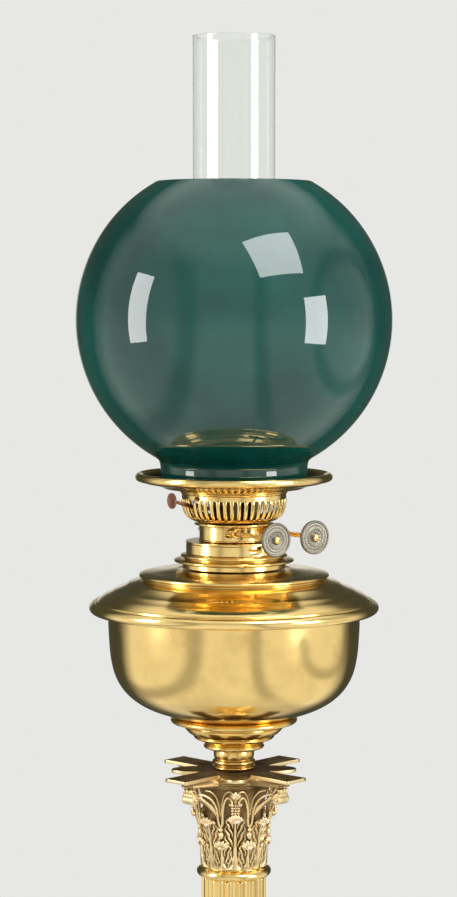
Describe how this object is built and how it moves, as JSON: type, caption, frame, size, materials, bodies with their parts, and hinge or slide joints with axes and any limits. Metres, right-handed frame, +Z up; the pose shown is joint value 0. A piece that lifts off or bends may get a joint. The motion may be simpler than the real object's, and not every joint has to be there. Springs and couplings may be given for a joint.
{
  "type": "oil lamp",
  "caption": "Brass table oil lamp with a two-wick burner, ball glass shade and clear chimney, on a fluted Corinthian column and a stepped square base.",
  "frame": {"origin": "centre of the underside of the felt, on the table", "axes": "+Z up along the column; the base is square to X and Y; -Y is the front, and the winders point 31 degrees from the front towards +X"},
  "size_m": [0.2032, 0.2032, 0.79],
  "materials": {
    "polished_brass": "polished, with soft hand wear",
    "warm_brass": "polished, a little orange",
    "aged_brass": "cast, dark in the hollows, pinkish where rubbed",
    "knob_metal": "dull pale plate, worn",
    "copper": "dull copper",
    "cast_iron": "rough casting",
    "steel": "plain turned steel",
    "felt": "green felt",
    "wick": "woven cotton",
    "clear_glass": "clear, blown",
    "teal_glass": "dark teal cased glass, glossy"
  },
  "bodies": {
    "base": {"felt_pad": "felt", "plinth": "polished_brass", "ballast": "cast_iron", "tie_rod": "steel", "tie_washer": "steel", "tie_nut": "steel", "column_foot": "polished_brass", "column_shaft": "polished_brass", "astragal_ring": "polished_brass", "capital": "aged_brass", "abacus": "aged_brass", "stem_knop": "warm_brass", "font_foot": "warm_brass", "font_bowl": "polished_brass", "font_top": "polished_brass", "collar_base": "polished_brass", "font_collar": "polished_brass"},
    "burner": {"bayonet_flange": "polished_brass", "burner_neck": "polished_brass", "basket_floor": "polished_brass", "basket": "polished_brass", "wick_tube_left": "polished_brass", "wick_tube_right": "polished_brass", "winder_bush_left": "warm_brass", "winder_bush_right": "warm_brass", "lever_bracket": "warm_brass", "lever_pin": "steel"},
    "wick_left": {"wick_left": "wick"},
    "wick_right": {"wick_right": "wick"},
    "winder_left": {"winder_spindle_left": "warm_brass", "wick_wheels_left": "warm_brass", "winder_knob_left": "knob_metal", "knob_screw_left": "warm_brass"},
    "winder_right": {"winder_spindle_right": "warm_brass", "wick_wheels_right": "warm_brass", "winder_knob_right": "knob_metal", "knob_screw_right": "warm_brass"},
    "snuffer": {"snuffer": "polished_brass"},
    "lever": {"extinguisher_lever": "copper"},
    "gallery": {"gallery": "polished_brass", "chimney_holder": "polished_brass", "flame_spreader": "polished_brass"},
    "shade": {"globe_shade": "teal_glass"},
    "chimney": {"chimney": "clear_glass"}
  },
  "joints": [
    {"name": "burner_twist", "type": "hinge", "parent": "base", "child": "burner", "pos_m": [0, 0, 0.4664], "axis": [0, 0, 1], "range_deg": [-25, 0]},
    {"name": "winder_left_turn", "type": "hinge", "parent": "burner", "child": "winder_left", "pos_m": [-0.01251, -0.00752, 0.47452], "axis": [0.515, -0.8572, 0], "range_deg": [-135, 110]},
    {"name": "wick_left_slide", "type": "slide", "parent": "burner", "child": "wick_left", "axis": [0, 0, 1], "range_m": [-0.0115, 0.0095]},
    {"name": "winder_right_turn", "type": "hinge", "parent": "burner", "child": "winder_right", "pos_m": [0.01251, 0.00752, 0.47452], "axis": [0.515, -0.8572, 0], "range_deg": [-110, 135]},
    {"name": "wick_right_slide", "type": "slide", "parent": "burner", "child": "wick_right", "axis": [0, 0, 1], "range_m": [-0.0115, 0.0095]},
    {"name": "lever_press", "type": "hinge", "parent": "burner", "child": "lever", "pos_m": [-0.02314, -0.01391, 0.49], "axis": [0.515, -0.8572, 0], "range_deg": [0, 30]},
    {"name": "snuffer_lift", "type": "slide", "parent": "burner", "child": "snuffer", "axis": [0, 0, 1], "range_m": [0, 0.0073]},
    {"name": "gallery_lift", "type": "slide", "parent": "burner", "child": "gallery", "axis": [0, 0, 1], "range_m": [0, 0.06]},
    {"name": "shade_lift", "type": "slide", "parent": "gallery", "child": "shade", "axis": [0, 0, 1], "range_m": [0, 0.3]},
    {"name": "chimney_lift", "type": "slide", "parent": "gallery", "child": "chimney", "axis": [0, 0, 1], "range_m": [0, 0.3]}
  ],
  "couplings": [
    {"joint": "wick_left_slide", "follows": "winder_left_turn", "m_per_rad": 0.0046},
    {"joint": "wick_right_slide", "follows": "winder_right_turn", "m_per_rad": -0.0046},
    {"joint": "snuffer_lift", "follows": "lever_press", "m_per_rad": 0.0138}
  ]
}
